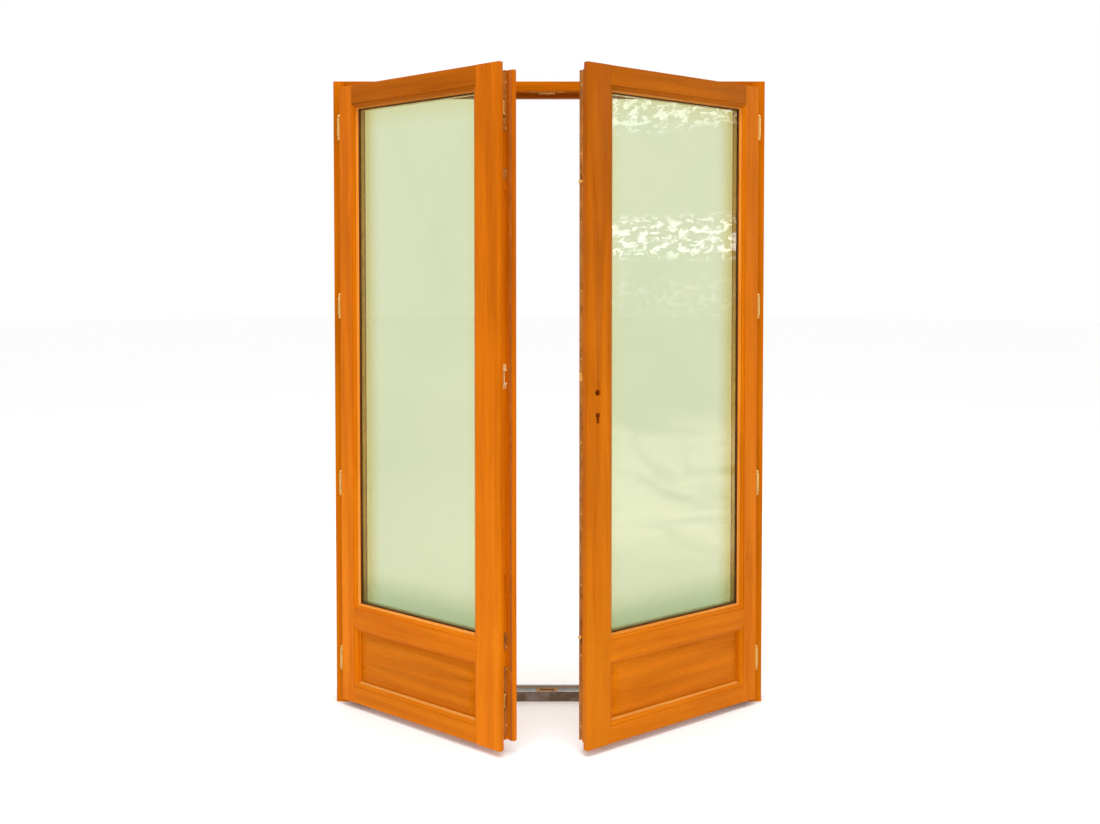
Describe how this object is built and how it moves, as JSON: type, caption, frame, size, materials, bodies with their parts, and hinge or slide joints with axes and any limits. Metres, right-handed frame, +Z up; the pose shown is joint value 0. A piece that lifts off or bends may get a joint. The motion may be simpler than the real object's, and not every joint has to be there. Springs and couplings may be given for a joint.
{
  "type": "french doors",
  "caption": "Pair of glazed wooden french doors in their frame, with raised panels, an aluminium threshold, barrel hinges, a rod lock and flush bolts.",
  "frame": {"origin": "middle of the threshold's underside, at mid depth of the frame", "axes": "+Z up, +Y to the outside, +X to the right seen from inside; the leaves open towards -Y"},
  "size_m": [1.48, 0.5057, 2.15],
  "materials": {
    "wood": "satin varnish, orange-brown",
    "panel_wood": "satin varnish, horizontal grain",
    "glass": "clear double glazing",
    "gasket": "matt, tan to match the wood",
    "glazing_seal": "matt, dark brown",
    "edge_seal": "matt",
    "spacer": "champagne anodised",
    "aluminium": "mill finish",
    "steel": "zinc plated",
    "brass": "yellow passivated"
  },
  "bodies": {
    "frame": {"jamb_left": "wood", "jamb_right": "wood", "head": "wood", "threshold": "aluminium", "frame_gasket": "gasket", "threshold_gasket": "gasket", "head_keep": "brass", "threshold_keep": "brass", "keep_screws": "brass", "jamb_screws": "steel", "frame_hinges": "brass", "hinge_pins": "steel"},
    "left_leaf": {"left_hinge_stile": "wood", "left_meeting_stile": "wood", "left_top_rail": "wood", "left_mid_rail": "wood", "left_bottom_rail": "wood", "left_panel": "panel_wood", "left_inner_pane": "glass", "left_outer_pane": "glass", "left_spacer": "spacer", "left_edge_seal": "edge_seal", "left_beads": "wood", "left_glazing_gasket": "glazing_seal", "left_weather_bar": "wood", "left_hinges": "brass", "left_centre_strike": "brass", "left_upper_keep": "brass", "left_lower_keep": "brass", "left_screws": "brass", "left_bolt_cases": "brass", "left_meeting_gasket": "gasket"},
    "left_top_bolt": {"left_top_bolt": "steel"},
    "left_top_lever": {"left_top_lever": "brass"},
    "left_bottom_bolt": {"left_bottom_bolt": "steel"},
    "left_bottom_lever": {"left_bottom_lever": "brass"},
    "right_leaf": {"right_hinge_stile": "wood", "right_meeting_stile": "wood", "right_top_rail": "wood", "right_mid_rail": "wood", "right_bottom_rail": "wood", "right_panel": "panel_wood", "right_inner_pane": "glass", "right_outer_pane": "glass", "right_spacer": "spacer", "right_edge_seal": "edge_seal", "right_beads": "wood", "right_glazing_gasket": "glazing_seal", "right_weather_bar": "wood", "right_hinges": "brass", "right_faceplate": "brass", "right_lock_case": "steel", "right_screws": "brass"},
    "right_follower": {"right_follower": "steel"},
    "right_latch": {"right_latch": "brass"},
    "right_upper_rod": {"right_upper_rod": "steel", "right_upper_roller": "brass"},
    "right_lower_rod": {"right_lower_rod": "steel", "right_lower_roller": "brass"}
  },
  "joints": [
    {"name": "left_leaf_hinge", "type": "hinge", "parent": "frame", "child": "left_leaf", "pos_m": [-0.718, -0.041, 1.075], "axis": [0, 0, -1], "range_deg": [-35.4, 74.6]},
    {"name": "right_leaf_hinge", "type": "hinge", "parent": "frame", "child": "right_leaf", "pos_m": [0.718, -0.041, 1.075], "axis": [0, 0, 1], "range_deg": [-33.6, 76.4]},
    {"name": "left_top_lever_pivot", "type": "hinge", "parent": "left_leaf", "child": "left_top_lever", "pos_m": [-0.142, -0.42335, 2.012], "axis": [-0.5793, -0.8151, 0], "range_deg": [0, 80]},
    {"name": "left_top_bolt_slide", "type": "slide", "parent": "left_leaf", "child": "left_top_bolt", "axis": [0, 0, 1], "range_m": [0, 0.02]},
    {"name": "left_bottom_lever_pivot", "type": "hinge", "parent": "left_leaf", "child": "left_bottom_lever", "pos_m": [-0.142, -0.42335, 0.145], "axis": [0.5793, 0.8151, 0], "range_deg": [0, 80]},
    {"name": "left_bottom_bolt_slide", "type": "slide", "parent": "left_leaf", "child": "left_bottom_bolt", "axis": [0, 0, -1], "range_m": [0, 0.02]},
    {"name": "right_follower_turn", "type": "hinge", "parent": "right_leaf", "child": "right_follower", "pos_m": [0.13278, -0.40341, 1.122], "axis": [0.5534, -0.8329, 0], "range_deg": [0, 90]},
    {"name": "right_upper_rod_slide", "type": "slide", "parent": "right_leaf", "child": "right_upper_rod", "axis": [0, 0, 1], "range_m": [0, 0.02]},
    {"name": "right_lower_rod_slide", "type": "slide", "parent": "right_leaf", "child": "right_lower_rod", "axis": [0, 0, -1], "range_m": [0, 0.02]},
    {"name": "right_latch_slide", "type": "slide", "parent": "right_leaf", "child": "right_latch", "axis": [-0.8329, -0.5534, 0], "range_m": [-0.0095, 0], "stiffness_N_per_m": 300, "springref_m": 0.004}
  ],
  "couplings": [
    {"joint": "left_top_bolt_slide", "follows": "left_top_lever_pivot", "m_per_rad": 0.014323},
    {"joint": "left_bottom_bolt_slide", "follows": "left_bottom_lever_pivot", "m_per_rad": 0.014323},
    {"joint": "right_follower_turn", "follows": "right_upper_rod_slide", "rad_per_m": 78.54},
    {"joint": "right_lower_rod_slide", "follows": "right_upper_rod_slide", "ratio": 1}
  ]
}
